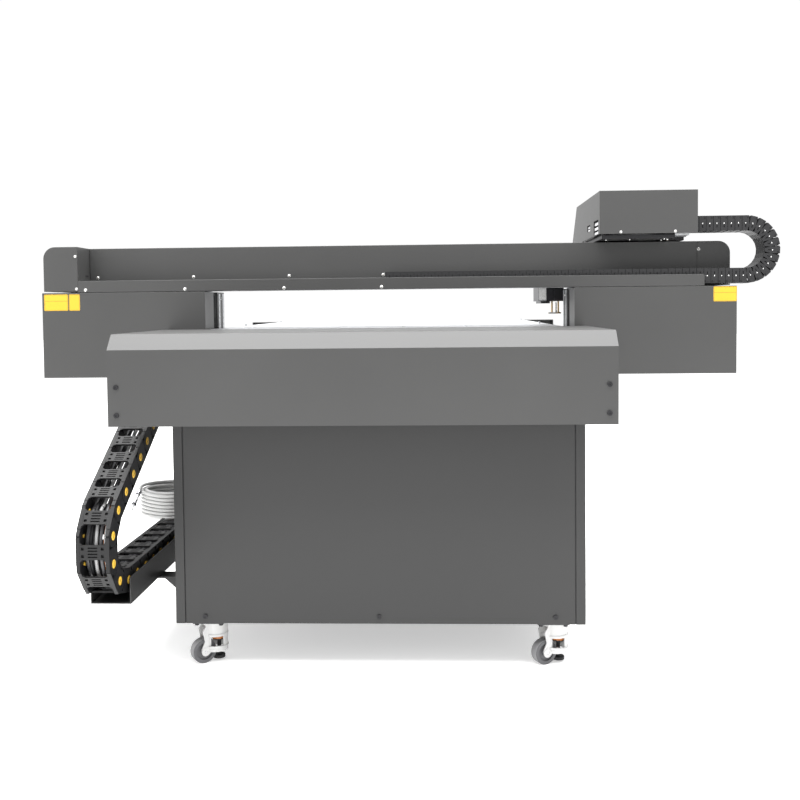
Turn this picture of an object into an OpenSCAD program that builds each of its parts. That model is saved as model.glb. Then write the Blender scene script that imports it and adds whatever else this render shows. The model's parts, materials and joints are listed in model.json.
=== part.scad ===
// Flatbed UV printer: wheeled cabinet, fixed vacuum table, moving gantry and print carriage.
// Modules are drawn from two datums: X from the gantry's centre line and Y from the rear apron's
// face, with Z from the floor. machine() then moves them to the part's frame, whose origin is the
// middle of the overall outline on the floor. +Z is up and +Y points to the operator's side.

/* [Table] */
// Length of the table from the rear apron's face to the front apron's face
table_l = 2150; // [2050:10:2400]
// Height of the table top above the floor
deck_z = 986; // [960:1:1010]
// Height of the aprons' lower edge
apron_z = 731; // [700:1:760]
// Reach of the rear apron to the left of the gantry's centre line
apron_left = 735; // [720:1:740]
// Reach of the rear apron to the right of the gantry's centre line
apron_right = 665; // [662:1:700]
// Height of the sloping edge along the top of each apron
bevel_h = 43; // [20:1:60]
// Depth of the sloping edge
bevel_d = 40; // [20:1:60]
// Depth of the rear deck in front of the gantry at home
deck_depth = 580; // [560:1:585]
// Width of the vacuum bed
bed_w = 1176; // [1100:2:1180]
// Thickness of the vacuum bed
bed_t = 60; // [40:1:80]

/* [Cabinet] */
// Width of the cabinet over its side panels
cabinet_w = 1196; // [1180:2:1198]
// Distance of the cabinet's rear face from the rear apron's face
cabinet_y = 150; // [120:5:160]
// Height of the cabinet's lower edge
cabinet_z = 131; // [125:1:140]
// Thickness of the sheet-metal panels
sheet = 3; // [2:0.5:4]

/* [Gantry] */
// Reach of the leg covers from the centre line
leg_out = 1160; // [1120:5:1200]
// Distance of the left leg's inner side from the centre line
leg_in_left = 604; // [600:1:608]
// Distance of the right leg's inner side from the centre line
leg_in_right = 630; // [620:1:632]
// Rear face of the leg covers
leg_y = 591; // [588:1:600]
// Height of the leg covers' lower face
leg_z = 825; // [800:1:850]
// Height of the leg covers' top
leg_top = 1113; // [1090:1:1113]
// Height of the beam cover's top
beam_top = 1268; // [1255:1:1270]
// Rear face of the beam cover
beam_y = 707; // [705:1:712]

/* [Carriage] */
// Left side of the carriage cover at home
cover_x = 711; // [690:1:720]
// Width of the carriage cover
cover_w = 319; // [310:1:340]
// Lower edge of the carriage cover behind the beam
cover_z = 1287; // [1284:1:1292]
// Top of the carriage cover
cover_top = 1428; // [1400:1:1460]

/* [Energy chains] */
// Bend radius of the table's cable chain, at the middle of its links
y_bend = 116; // [110:1:140]
// Height of the table chain's links
y_link_h = 68; // [60:1:70]
// Width of the table chain
y_link_w = 91; // [80:1:100]
// Rise of the table chain's free run, in degrees
y_rise = 29.5; // [28:0.5:33]
// Bend radius of the beam's cable chain, at the middle of its links
x_bend = 86; // [80:1:95]
// Height of the beam chain's links
x_link_h = 50; // [44:1:52]
// Width of the beam chain
x_link_w = 90; // [80:1:94]

/* [Casters] */
// Distance of the swivel axes from the centre line
caster_x = 507; // [480:1:510]
// Diameter of the wheels
wheel_d = 73; // [70:1:74]
// Yaw of the casters, as they happen to stand
caster_yaw = 35; // [0:1:80]

/* [Hose] */
// Outer diameter of the coiled hose
hose_d = 12; // [10:0.5:12]
// Turns stacked on each other in the coil
hose_layers = 8; // [6:1:8]

/* [Hidden] */
$fn = 48;

// Running clearance of the shafts in their bores, and of the rail blocks on their rails
run = 0.05;
block_gap = 0.1;

// Cable chain of the table
y_chain_x = -748;
y_tray_z = 227;
y_tray_wall = 76;
y_rest_h = 25;
y_low_z = y_tray_z + sheet + y_rest_h + 1 + y_link_h / 2;
y_bend_z = y_low_z + y_bend;
y_bend_y = 38;
y_fixed_y = 700;
y_end_y = 560;
y_tray_y = 28;
y_tray_end = 1120;
y_top = [y_bend_y - y_bend * sin(y_rise), y_bend_z + y_bend * cos(y_rise)];
y_run = (y_end_y - y_top.x) / cos(y_rise);

// Cable chain of the beam
x_low_z = 1147;
x_bend_z = x_low_z + x_bend;
x_bend_x = 1193;
x_fixed_x = 6;
x_end_x = 760;
x_chain_y = 650;
x_tray_right = 1055;
x_tray_z = leg_top + 1.5;
x_lip_h = 38;

// Place of the datums in the part's frame, so that the overall outline is centred on the origin
outline_right = x_bend_x + x_bend + x_link_h / 2;
outline_rear = y_bend_y - y_bend - y_link_h / 2;
screw_head_h = 4;
mid_x = (leg_out - outline_right) / 2;
rear_y = -(table_l + screw_head_h + outline_rear) / 2;

// Leg covers: two halves with a gap between them, stepped over the table's side beams
leg_split = 715;
leg_split_front = 772;
leg_front = 879;
leg_step_left = 800;
leg_step_right = 730;
leg_step_z = 942;

// Side beams, rails and ball screws
side_in = 600;
side_w = 60;
side_z = 780;
side_top = 890;
rail_x = 631.5;
rail_w = 23;
rail_h = 22;
rail_y = 590;
side_end = table_l - 116;
rail_end = side_end - 4;
screw_x = 678;
screw_z = 850;
screw_r = 10;
front_apron_half = 735;
front_apron_depth = 80;
bed_y = 586;
bed_end = table_l - front_apron_depth - 4;

// Beam, its rails and its belt
beam_half = 1040;
beam_front = 905;
beam_z = leg_top + 7;
x_rail_z = [1142, 1232];
x_rail_t = 15;
x_rail_w = 15;
belt_y = 923;
belt_w = 8;
belt_z = 1187;
pulley_r = 19;
belt_t = 3;
drive_x = -1095;
idler_x = 1110;
cap_l = 117;
cap_left_x = -1153;
beam_left = cap_left_x + cap_l + 0.5;
cap_right_x = beam_half + 21;
cap_right_l = 111;
cap_r = 40;

// Carriage, with its head unit at home over the capping station
head_x = cover_x + cover_w / 2;
head_z = 1062;
plate_y = 930;
lamp_x = 275;
lamp_w = 92;
probe_x = [600, 623];
probe_y = 968;
probe_z = 1024;
probe_r = 3;

// Casters
caster_y = [210, 1940];
fork_gap = 15.5;
trail = 28;
foot_x = 22;
foot_z = 6;
foot_r = 18;
stem_r = 6;
king_r = 8;
plate_z = cabinet_z - 6;
fork_top = plate_z - 5;

// Hose: a lead from the gland, a coil on the chain tray and a free end with a coupling
coil_x = -785;
coil_y = 847;
coil_z = y_tray_z + y_tray_wall;
coil_r = 108;
coil_w = 40;
coil_h = (hose_layers + 1) * (hose_d + 0.6);
lead_z = 404;
lead_y = 967;
gland_x = -cabinet_w / 2;
tail_z = coil_z + coil_h - hose_d / 2 - 1;
hose_lead = [[-622, 967, 404], [-640, 967, 404], [-660, 967, 404], [-680, 967.5, 403],
    [-700, 968, 401.5], [-720, 968, 400], [-740, 967.5, 399.5], [-760, 967, 399.5]];
hose_tail = [[-909.5, 846, 409.5], [-909.5, 836, 409.3], [-909.5, 825, 408], [-909, 814, 405],
    [-908, 803, 400]];
coupling_drop = 29;

paint = [0.40, 0.40, 0.39];
dark = [0.16, 0.16, 0.17];
steel = [0.72, 0.73, 0.75];
black = [0.08, 0.08, 0.09];

module machine() translate([mid_x, rear_y, 0]) children();
module both() {
    children();
    mirror([1, 0, 0]) children();
}
// A box from its low corner to its high corner
module block(low, high) translate(low) cube(high - low);
// A sheet-metal box with open sides: the walls of outer that are left outside inner
module tray(low, high, cut_low, cut_high) {
    difference() {
        block(low, high);
        block(cut_low, cut_high);
    }
}
// A profile in the YZ plane, drawn along X from x0 to x1
module along_x(x0, x1) translate([x0, 0, 0]) rotate([90, 0, 90]) linear_extrude(x1 - x0) children();
// A profile in the XZ plane, drawn along Y from y0 to y1
module along_y(y0, y1) translate([0, y1, 0]) rotate([90, 0, 0]) linear_extrude(y1 - y0) children();
// A round bar along Y and along X
module rod_y(x, z, r, y0, y1) translate([x, y0, z]) rotate([-90, 0, 0]) cylinder(h = y1 - y0, r = r);
module rod_x(y, z, r, x0, x1) translate([x0, y, z]) rotate([0, 90, 0]) cylinder(h = x1 - x0, r = r);

// ---------------------------------------------------------------- cabinet and table

cab_end = table_l - cabinet_y;
post_x = 530;
post_w = 60;
cross_z = 762;
cross_h = 78;
cross_y = [cabinet_y + 5, 600, 1045, 1490, cab_end - 65];

module base_frame() machine() color(dark) {
    frame_floor();
    both() frame_side();
    for (y = cross_y) block([-side_in, y, cross_z], [side_in, y + post_w, cross_z + cross_h]);
    both() block([300, 500, cross_z + cross_h], [360, bed_end - 40, deck_z - bed_t]);
    for (x = [-caster_x, caster_x], y = caster_y) translate([x, y, 0]) caster_plate();
}
module frame_floor() {
    block([-592, cabinet_y + 5, cabinet_z], [592, cab_end - 5, cabinet_z + 4]);
    for (y = [cross_y[0], cross_y[2], cross_y[4]])
        block([-post_x, y, cabinet_z + 4], [post_x, y + post_w, cabinet_z + 64]);
}
module frame_side() {
    block([post_x, cabinet_y + 5, cabinet_z + 4], [post_x + post_w, cab_end - 5, cabinet_z + 64]);
    for (y = [cross_y[0], cross_y[2], cross_y[4]])
        block([post_x, y, cabinet_z + 64], [post_x + post_w, y + post_w, cross_z]);
    block([side_in, 20, side_z], [side_in + side_w, side_end, side_top]);
}
module caster_plate() {
    difference() {
        block([-46, -46, plate_z], [46, 46, cabinet_z]);
        for (x = [-36, 36], y = [-36, 36]) translate([x, y, plate_z - 1]) cylinder(h = 5, r = 4);
    }
    translate([0, 0, fork_top + 1]) cylinder(h = plate_z - fork_top - 1, r = 30);
    translate([0, 0, fork_top - 14]) cylinder(h = 16, r = king_r);
}

panel_top = cross_z - 2;
module end_panel(y) block([-569, y, cabinet_z], [569, y + sheet, panel_top]);
module rear_panel() machine() color(paint) end_panel(cabinet_y + 2);
module front_panel() machine() color(paint) end_panel(cab_end - 2 - sheet);
module side_panels() machine() color(paint) both() {
    x = cabinet_w / 2;
    difference() {
        block([x - 27, cabinet_y, cabinet_z], [x, cab_end, panel_top]);
        block([x - 28, cabinet_y + sheet, cabinet_z - 1], [x - sheet, cab_end - sheet, panel_top + 1]);
        for (z = [600, 624, 648, 672], y = [500, 560, 620, 680, 1470, 1530, 1590, 1650])
            block([x - sheet - 1, y, z], [x + 1, y + 44, z + 6]);
        rod_x(lead_y, lead_z, hose_d / 2 + 3, x - sheet - 1, x + 1);
    }
}

// Outline of an apron in the YZ plane, from its face at Y = 0 inwards
module apron_profile(depth, inset) {
    polygon([
        [inset, apron_z - (inset > 0 ? 1 : 0)], [inset, deck_z - bevel_h - inset * 0.4],
        [bevel_d + inset * 0.4, deck_z - inset], [depth + inset, deck_z - inset],
        [depth + inset, apron_z - (inset > 0 ? 1 : 0)]
    ]);
}
module rear_apron() machine() color(paint) difference() {
    along_x(-apron_left, apron_right) apron_profile(deck_depth, 0);
    along_x(-apron_left + sheet, apron_right - sheet) apron_profile(deck_depth, sheet);
    block([-apron_left - 1, 250, apron_z - 1], [-apron_left + sheet + 1, deck_depth + 1, 935]);
    for (x = [-apron_left + 24, apron_right - 24], z = [762, 840]) rod_y(x, z, 3, -1, sheet + 1);
}
module front_apron() machine() color(paint) translate([0, table_l, 0]) mirror([0, 1, 0]) difference() {
    along_x(-front_apron_half, front_apron_half) apron_profile(front_apron_depth, 0);
    along_x(-front_apron_half + sheet, front_apron_half - sheet) apron_profile(front_apron_depth, sheet);
}

groove = 3;
pin_r = 4;
pin_x = 565;
pin_y = [1080, 1900];
module vacuum_bed() machine() color([0.80, 0.81, 0.82]) difference() {
    block([-bed_w / 2, bed_y, deck_z - bed_t], [bed_w / 2, bed_end, deck_z]);
    for (i = [0:13]) let (y = bed_y + 78 + i * 100)
        block([-535, y, deck_z - 2], [535, y + groove, deck_z + 1]);
    for (i = [0:9]) let (x = -495 + i * 110)
        block([x - groove / 2, bed_y + 40, deck_z - 2.5], [x + groove / 2, bed_end - 40, deck_z + 1]);
    for (x = [-pin_x, pin_x], y = pin_y) translate([x, y, deck_z - 40]) cylinder(h = 41, r = pin_r + run);
}
module registration_pins() machine() color(steel)
    for (x = [-pin_x, pin_x], y = pin_y) translate([x, y, deck_z - 28]) cylinder(h = 36, r = pin_r);

module y_rails() machine() color(steel) both() difference() {
    block([rail_x - rail_w / 2, rail_y, side_top], [rail_x + rail_w / 2, rail_end, side_top + rail_h]);
    for (s = [-1, 1]) along_y(rail_y - 1, rail_end + 1)
        translate([rail_x + s * rail_w / 2, side_top + 10]) circle(r = 3);
}
module bearing_block(y0, y1) difference() {
    block([side_in + side_w, y0, 812], [screw_x + 22, y1, 884]);
    rod_y(screw_x, screw_z, screw_r + run, y0 - 1, y1 + 1);
}
module y_drive_units() machine() color(dark) both() {
    bearing_block(585, 610);
    bearing_block(2006, 2034);
    difference() {
        block([screw_x - 30, 2036, screw_z - 30], [screw_x + 30, 2130, screw_z + 30]);
        rod_y(screw_x, screw_z, screw_r + run, 2035, 2061);
    }
    rod_y(screw_x, screw_z, 24, 2130, 2138);
}
module ball_screw() difference() {
    rod_y(screw_x, screw_z, screw_r, 587, 2060);
    rod_y(screw_x, screw_z, 2, 586, 592);
}
module y_screw_right() machine() color(steel) ball_screw();
module y_screw_left() machine() color(steel) mirror([1, 0, 0]) ball_screw();

blower_y = 700;
module vacuum_blower() machine() color([0.55, 0.56, 0.58]) translate([0, blower_y, cabinet_z + 4]) {
    difference() {
        rod_x(0, 190, 150, -60, 60);
        rod_x(0, 190, 90, -61, -10);
    }
    rod_x(0, 190, 80, 60, 240);
    block([-60, -130, 0], [200, 130, 45]);
    translate([0, 90, 300]) cylinder(h = 290, r = 35);
}
module control_box() machine() color([0.62, 0.63, 0.62]) {
    block([-400, 1250, cabinet_z + 4], [300, 1550, 560]);
    for (i = [0:5]) block([-370 + i * 110, 1240, 200], [-310 + i * 110, 1250, 500]);
}

// Socket screw with its head's seat at the origin, pointing to -Y
module screw_head(r, h) difference() {
    rotate([90, 0, 0]) cylinder(h = h, r = r);
    translate([0, -h + 1.5, 0]) rotate([90, 0, 0]) cylinder(h = 2, r = r * 0.5, $fn = 6);
}
module panel_screws() machine() color(black) {
    for (x = [-apron_left + 24, apron_right - 24], z = [762, 840]) translate([x, 0, z]) screw_head(7, screw_head_h);
    for (x = [-512, 0, 512]) translate([x, cabinet_y + 2, 152]) screw_head(7, screw_head_h);
    for (x = [-512, 0, 512]) translate([x, cab_end - 2, 152]) mirror([0, 1, 0]) screw_head(7, screw_head_h);
    for (x = [-700, 700], z = [762, 840]) translate([x, table_l, z]) mirror([0, 1, 0]) screw_head(7, screw_head_h);
}

// ---------------------------------------------------------------- table cable chain

tray_half = 57.5;
module y_chain_tray() machine() color(paint) {
    translate([y_chain_x, 0, 0]) tray([-tray_half, y_tray_y, y_tray_z],
        [tray_half, y_tray_end, y_tray_z + y_tray_wall],
        [-tray_half + sheet, y_tray_y - 1, y_tray_z + sheet],
        [tray_half - sheet, y_tray_end + 1, y_tray_z + y_tray_wall + 1]);
    // two strips that carry the chain's lower run
    for (x = [-40, 28])
        block([y_chain_x + x, 120, y_tray_z + 1], [y_chain_x + x + 12, y_tray_end - 30, y_tray_z + sheet + y_rest_h]);
    for (y = [300, 940]) tray_bracket(y);
}
module tray_bracket(y) {
    x = y_chain_x + tray_half;
    block([y_chain_x - 30, y, y_tray_z - 5], [gland_x, y + 60, y_tray_z]);
    along_y(y + 28, y + 32) polygon([[x, y_tray_z - 5], [gland_x, y_tray_z - 5], [gland_x, 140]]);
    block([gland_x - 4, y, 140], [gland_x, y + 60, y_tray_z - 5]);
    for (z = [165, 205]) rod_x(y + 14, z, 5, gland_x - 9, gland_x - 4);
}
module y_chain_lower() machine() color(black) translate([y_chain_x, 0, 0])
    block([-y_link_w / 2, y_bend_y + 0.2, y_low_z - y_link_h / 2], [y_link_w / 2, y_fixed_y, y_low_z + y_link_h / 2]);
module y_chain_loop() machine() color(black)
    translate([y_chain_x - y_link_w / 2, y_bend_y, y_bend_z]) rotate([90, 0, 90]) rotate([0, 0, 90 + y_rise])
    rotate_extrude(angle = 180 - y_rise, $fn = 96)
        translate([y_bend - y_link_h / 2, 0]) square([y_link_h, y_link_w]);
module y_chain_upper() machine() color(black) {
    translate([y_chain_x, y_top.x, y_top.y]) rotate([y_rise, 0, 0])
        block([-y_link_w / 2, 0.2, -y_link_h / 2], [y_link_w / 2, y_run, y_link_h / 2]);
}

// ---------------------------------------------------------------- hose

module hose_gland() machine() color([0.2, 0.2, 0.21]) difference() {
    union() {
        rod_x(lead_y, lead_z, hose_d / 2 + 3 - run, gland_x - 4, gland_x + 14);
        translate([gland_x - 12, lead_y, lead_z]) rotate([0, 90, 0]) cylinder(h = 12, r = 15, $fn = 6);
        rod_x(lead_y, lead_z, 11, gland_x - 24, gland_x - 12);
    }
    rod_x(lead_y, lead_z, hose_d / 2 - 1, gland_x - 13, gland_x + 15);
    rod_x(lead_y, lead_z, hose_d / 2 + 0.3, gland_x - 25, gland_x - 22);
}
module hose_coil() machine() color([0.88, 0.88, 0.87]) difference() {
    translate([coil_x, coil_y, coil_z + 0.3])
        rotate_extrude($fn = 96) translate([coil_r - coil_w / 2, 0]) square([coil_w, coil_h]);
    block([-800, 959, 393], [-720, 980, 420]);
    block([-920, 770, 370], [-893, 853, 420]);
}

function unit(v) = v / norm(v);
// Ring of eight points round a point of the route, square to the route there
function ring(p, d) = let (u = unit(cross([0.02, 0.01, 1], d)), w = cross(d, u))
    [for (k = [0:7]) p + hose_d / 2 * (cos(45 * k) * u + sin(45 * k) * w)];
function heading(r, i) = unit(r[min(i + 1, len(r) - 1)] - r[max(i - 1, 0)]);
module tube(r) {
    n = len(r);
    points = [for (i = [0:n - 1], q = ring(r[i], heading(r, i))) q];
    sides = [for (i = [0:n - 2], k = [0:7])
        [8 * i + k, 8 * i + 8 + k, 8 * i + 8 + (k + 1) % 8, 8 * i + (k + 1) % 8]];
    caps = [[for (k = [0:7]) k], [for (k = [7:-1:0]) 8 * (n - 1) + k]];
    polyhedron(points, concat(sides, caps), convexity = 4);
}
module hose_ends() machine() color([0.88, 0.88, 0.87]) {
    tube(hose_lead);
    tube(hose_tail);
}
module hose_connectors() machine() color([0.55, 0.55, 0.57]) translate(hose_tail[len(hose_tail) - 1])
    rotate([coupling_drop, 0, 0]) {
        rod_y(0, 0, 7, -38, -3);
        rod_y(0, 0, 9, -20, -8);
        rod_y(0, 0, 5, -48, -38);
        rod_y(0, 0, 8, -84, -48);
        rod_y(0, 0, 4, -118, -84);
    }

// ---------------------------------------------------------------- gantry

module gantry_legs() machine() color([0.6, 0.61, 0.63]) {
    both() leg();
    chain_bracket();
}
module leg() {
    block([side_in + 2, 605, side_top + 35], [728, 870, side_top + 50]);
    for (y = [620, 770]) difference() {
        block([side_in + 2, y, side_top + 5], [661, y + 80, side_top + 35]);
        block([rail_x - rail_w / 2 - block_gap, y - 1, side_top + 4],
            [rail_x + rail_w / 2 + block_gap, y + 81, side_top + rail_h + block_gap]);
    }
    difference() {
        block([638, 640, side_top + 50], [720, 840, x_tray_z - 0.3]);
        block([646, 639, side_top + 70], [712, 841, beam_z - 20]);
    }
    block([638, 711, beam_z - 20], [720, 840, beam_z]);
    difference() {
        block([664, 700, screw_z - 24], [698, 760, side_top + 35]);
        rod_y(screw_x, screw_z, screw_r + run, 699, 761);
    }
}
// Hanger that holds the free end of the table chain
function chain_end(z, t) = y_top + (y_run + 0.3 + t) * [cos(y_rise), sin(y_rise)]
    + z * [-sin(y_rise), cos(y_rise)];
module chain_bracket() {
    block([y_chain_x - 44, 548, 905], [-664, 650, side_top + 36]);
    along_x(y_chain_x - 42, y_chain_x + 42)
        polygon([chain_end(-34, 0), chain_end(34, 0), [550, 910], [575, 910], [575, 850], chain_end(-34, 8)]);
}
module gantry_beam() machine() color([0.58, 0.59, 0.6]) difference() {
    block([beam_left, beam_y + 8, beam_z], [beam_half, beam_front, beam_top - 12]);
    block([beam_left - 1, beam_y + 20, beam_z + 12], [beam_half + 1, beam_front - 12, beam_top - 24]);
}
module beam_cover() machine() color(paint) {
    left = cap_left_x + cap_l;
    difference() {
        block([left, beam_y, beam_z + 0.5], [cap_right_x, 931, beam_top]);
        block([left - 1, beam_y + sheet, beam_z], [cap_right_x + 1, 932, beam_top - sheet]);
    }
}
// End cap in the XZ plane: width w, rounded at its outer top corner
module cap_profile(w, z0, z1, r) {
    translate([0, z0]) square([w, z1 - z0 - r]);
    translate([0, z0]) square([w - r, z1 - z0]);
    translate([w - r, z1 - r]) circle(r = r);
}
module end_cap(x, w, y0, z0) translate([x, 0, 0]) difference() {
    along_y(y0, 940) cap_profile(w, z0, beam_top, cap_r);
    translate([-1, 0, 0]) along_y(y0 + sheet, 940 - sheet)
        cap_profile(w + 1 - sheet, z0 + sheet, beam_top - sheet, cap_r - sheet);
}
module end_caps() machine() color(paint) {
    end_cap(cap_right_x, cap_right_l, beam_y, x_tray_z + 3);
    mirror([1, 0, 0]) {
        x = -(cap_left_x + cap_l);
        end_cap(x, cap_l, leg_y, x_tray_z + 3);
        block([x, leg_y + 1, x_tray_z + 4], [x + sheet, beam_y, beam_top - 1]);
    }
}
module x_chain_tray() machine() color(paint) {
    left = cap_left_x + cap_l + 0.5;
    block([left, leg_y, x_tray_z], [x_tray_right, beam_y - 0.5, x_tray_z + sheet]);
    difference() {
        block([left, leg_y, x_tray_z], [x_tray_right, leg_y + sheet, x_tray_z + x_lip_h]);
        difference() {
            block([x_tray_right - 6, leg_y - 1, x_tray_z + x_lip_h - 6],
                [x_tray_right + 1, leg_y + sheet + 1, x_tray_z + x_lip_h + 1]);
            rod_y(x_tray_right - 6, x_tray_z + x_lip_h - 6, 6, leg_y - 2, leg_y + sheet + 2);
        }
    }
}

// Stepped outline of a leg cover in the XZ plane, inset by t
module leg_profile(leg_in, step_x, t) polygon([
    [leg_in + t, leg_step_z - (t > 0 ? 10 : 0)], [step_x + t, leg_step_z - (t > 0 ? 10 : 0)],
    [step_x + t, leg_z + t], [leg_out - t, leg_z + t], [leg_out - t, leg_top - t],
    [leg_in + t, leg_top - t]
]);
module leg_cover(y0, y1, rear, leg_in, step_x) difference() {
    along_y(y0, y1) leg_profile(leg_in, step_x, 0);
    along_y(rear ? y0 + sheet : y0 - 1, rear ? y1 + 1 : y1 - sheet) leg_profile(leg_in, step_x, sheet);
    block([635, 632, leg_top - sheet - 1], [726, 848, leg_top + 1]);
}
module capping_slot() block([head_x - 128, 700, 960], [head_x + 128, leg_front + 1, 1000]);
module right_leg_rear_cover() machine() color(paint) leg_cover(leg_y, leg_split, true, leg_in_right, leg_step_right);
module left_leg_rear_cover() machine() color(paint) mirror([1, 0, 0]) leg_cover(leg_y, leg_split, true, leg_in_left, leg_step_left);
module right_leg_front_cover() machine() color(paint) difference() {
    leg_cover(leg_split_front, leg_front, false, leg_in_right, leg_step_right);
    capping_slot();
}
stop_x = -1040;
stop_z = 1010;
module left_leg_front_cover() machine() color(paint) difference() {
    union() {
        mirror([1, 0, 0]) leg_cover(leg_split_front, leg_front, false, leg_in_left, leg_step_left);
        rod_y(stop_x, stop_z, 20, leg_front - 1, leg_front + 8);
    }
    rod_y(stop_x, stop_z, 8 + run, leg_front - 5, leg_front + 9);
}
module emergency_stop() machine() color([0.75, 0.08, 0.07]) {
    rod_y(stop_x, stop_z, 8, leg_front - 16, leg_front + 14);
    rod_y(stop_x, stop_z, 18, leg_front + 14, leg_front + 26);
}

module x_rails() machine() color(steel) for (z = x_rail_z) difference() {
    block([-1030, beam_front, z - x_rail_w / 2], [1030, beam_front + x_rail_t, z + x_rail_w / 2]);
    for (s = [-1, 1]) rod_x(beam_front + 8, z + s * x_rail_w / 2, 2, -1031, 1031);
}
module pulley(x, l) difference() {
    union() {
        rod_y(x, belt_z, pulley_r - 1.5, belt_y - 1, belt_y + belt_w + 1);
        rod_y(x, belt_z, pulley_r + 2, belt_y - 3, belt_y - 1);
        rod_y(x, belt_z, pulley_r + 2, belt_y + belt_w + 1, belt_y + belt_w + 3);
    }
    rod_y(x, belt_z, l, belt_y - 4, belt_y + belt_w + 4);
}
module x_drive_pulley() machine() color(steel) {
    pulley(drive_x, 4);
    rod_y(drive_x, belt_z, 4, 880, belt_y + belt_w + 3);
}
module x_idler_pulley() machine() color(steel) pulley(idler_x, 5 + run);
module x_motor() machine() color(black) {
    difference() {
        block([drive_x - 30, 800, belt_z - 30], [drive_x + 30, 900, belt_z + 30]);
        rod_y(drive_x, belt_z, 4 + run, 878, 901);
    }
    difference() {
        block([drive_x - 30, 900, belt_z - 44], [beam_left, 905, belt_z + 44]);
        rod_y(drive_x, belt_z, 10, 899, 906);
    }
    block([beam_half, 860, belt_z - 30], [idler_x + 24, 905, belt_z + 30]);
    rod_y(idler_x, belt_z, 5, 905, belt_y + belt_w + 4);
}
// Closed belt round both pulleys: a stadium of radius r
module stadium(r) {
    translate([drive_x, belt_z]) circle(r = r);
    translate([idler_x, belt_z]) circle(r = r);
    translate([drive_x, belt_z - r]) square([idler_x - drive_x, 2 * r]);
}
module x_belt() machine() color(black) along_y(belt_y, belt_y + belt_w) difference() {
    stadium(pulley_r - 1.3 + belt_t);
    stadium(pulley_r - 1.3);
}
module ink_tanks() machine() color([0.9, 0.9, 0.88]) for (i = [0:3]) translate([-1100 + i * 72, 0, 0]) {
    block([0, 620, leg_z + 5], [62, 730, 1010]);
    translate([31, 675, 1010]) cylinder(h = 26, r = 20);
}
module capping_station() machine() color(dark) {
    block([head_x - 120, 852, 966], [head_x - 90, 1180, 990]);
    block([head_x + 90, 852, 966], [head_x + 120, 1180, 990]);
    block([720, 845, 966], [head_x + 120, 870, 990]);
    difference() {
        block([head_x - 130, 965, 990], [head_x + 130, 1185, 1026]);
        for (i = [0:2]) block([head_x - 110 + i * 76, 985, 1006], [head_x - 50 + i * 76, 1165, 1027]);
    }
}

// ---------------------------------------------------------------- beam cable chain and carriage

module x_chain_lower() machine() color(black)
    block([x_fixed_x, x_chain_y - x_link_w / 2, x_low_z - x_link_h / 2],
        [x_bend_x, x_chain_y + x_link_w / 2, x_low_z + x_link_h / 2]);
module x_chain_loop() machine() color(black)
    translate([x_bend_x, x_chain_y + x_link_w / 2, x_bend_z]) rotate([90, 0, 0]) rotate([0, 0, -90])
    rotate_extrude(angle = 180, $fn = 96)
        translate([x_bend - x_link_h / 2, 0]) square([x_link_h, x_link_w]);
module x_chain_upper() machine() color(black) {
    z = x_low_z + 2 * x_bend;
    block([x_end_x, x_chain_y - x_link_w / 2, z - x_link_h / 2],
        [x_bend_x - 0.2, x_chain_y + x_link_w / 2, z + x_link_h / 2]);
}

plate_half = 149;
module carriage_plate() machine() color(dark) translate([head_x, 0, 0]) {
    difference() {
        block([-plate_half, 935, 1114], [plate_half, 947, 1284]);
        block([-70, 934, 1166], [70, 948, 1208]);
    }
    for (z = x_rail_z, x = [-plate_half + 4, plate_half - 64]) rail_block(x, z);
    block([-plate_half, 600, 1272], [90, 720, 1284]);
    block([-plate_half, 719, 1272], [plate_half, 947, 1284]);
    block([-24, 931.5, 1172.6], [24, 935, 1202]);
    block([x_end_x - head_x - 10, 604, 1284], [x_end_x - head_x - 1, 696, 1346]);
}
module rail_block(x, z) difference() {
    block([x, beam_front + 4, z - 17], [x + 60, 935, z + 17]);
    block([x - 1, beam_front + 3, z - x_rail_w / 2 - block_gap],
        [x + 61, beam_front + x_rail_t + block_gap, z + x_rail_w / 2 + block_gap]);
}
cover_front = 1219;
module cover_profile(t) polygon([
    [580 + t, cover_z - (t > 0 ? 1 : 0)], [580 + t, cover_top - t], [1103 - 0.5 * t, cover_top - t],
    [cover_front - t, 1300 - 0.5 * t], [cover_front - t, 1215 - (t > 0 ? 1 : 0)],
    [958, 1215 - (t > 0 ? 1 : 0)], [958, cover_z - (t > 0 ? 1 : 0)]
]);
module carriage_cover() machine() color(paint) {
    difference() {
        along_x(cover_x, cover_x + cover_w) cover_profile(0);
        along_x(cover_x + sheet, cover_x + cover_w - sheet) cover_profile(sheet);
        block([cover_x + cover_w - sheet - 1, 600, cover_z - 1], [cover_x + cover_w + 1, 700, 1353]);
        block([cover_x - 1, 609, 1290], [cover_x + sheet + 1, 701, 1337]);
        block([cover_x - 1, 779, 1312], [cover_x + sheet + 1, 842, 1334]);
    }
    for (x = [cover_x + sheet, cover_x + cover_w - 17 - sheet])
        block([x, 720, 1284], [x + 17, 940, 1288]);
}

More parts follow.
